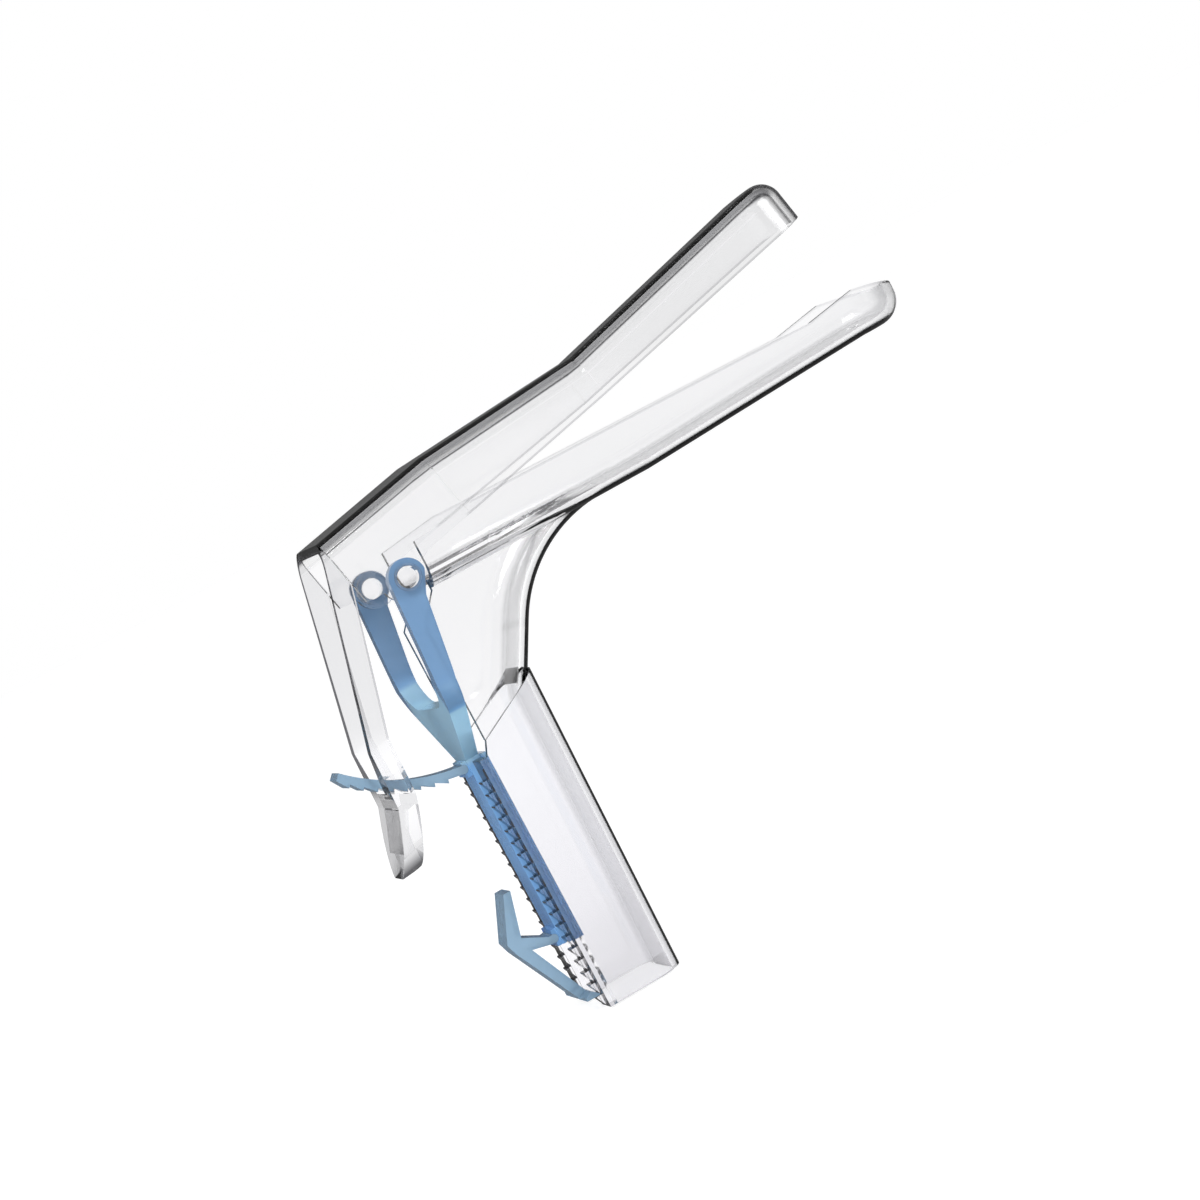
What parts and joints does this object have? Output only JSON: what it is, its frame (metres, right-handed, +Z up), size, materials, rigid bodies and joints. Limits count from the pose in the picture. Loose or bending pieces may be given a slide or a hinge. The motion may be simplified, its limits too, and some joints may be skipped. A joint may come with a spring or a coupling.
{
  "type": "bivalve speculum",
  "caption": "Clear disposable bivalve speculum with a hollow handle, thumb lever, sliding yoke, rack latch and angular ratchet.",
  "frame": {"origin": "middle of the handle's open foot, in the plane of its rim", "axes": "+X forward along the lower blade, +Y to the side, +Z up along the handle"},
  "size_m": [0.1694, 0.0524, 0.1457],
  "materials": {
    "clear_blade": "clear, polished",
    "clear_handle": "clear, polished",
    "blue_frame": "translucent blue, smooth",
    "blue_spring": "translucent light blue, smooth"
  },
  "bodies": {
    "lower": {"lower_blade": "clear_blade", "handle": "clear_handle"},
    "slider": {"yoke": "blue_frame", "slider_stem": "blue_frame"},
    "upper": {"upper_blade": "clear_blade", "thumb_lever": "clear_handle"},
    "ratchet": {"angle_ratchet": "blue_spring"},
    "latch": {"release_latch": "blue_spring"}
  },
  "joints": [
    {"name": "yoke_slide", "type": "slide", "parent": "lower", "child": "slider", "axis": [0, 0, 1], "range_m": [0, 0.018]},
    {"name": "blade_pivot", "type": "hinge", "parent": "slider", "child": "upper", "pos_m": [-0.00675, 0, 0.105], "axis": [0, -1, 0], "range_deg": [-12, 12]},
    {"name": "ratchet_flex", "type": "hinge", "parent": "slider", "child": "ratchet", "pos_m": [-0.01205, 0, 0.06082], "axis": [0, 1, 0], "range_deg": [0, 7], "stiffness_Nm_per_rad": 0.03},
    {"name": "latch_flex", "type": "hinge", "parent": "slider", "child": "latch", "pos_m": [-0.01205, 0, 0.018], "axis": [0, 1, 0], "range_deg": [0, 8], "stiffness_Nm_per_rad": 0.03}
  ]
}
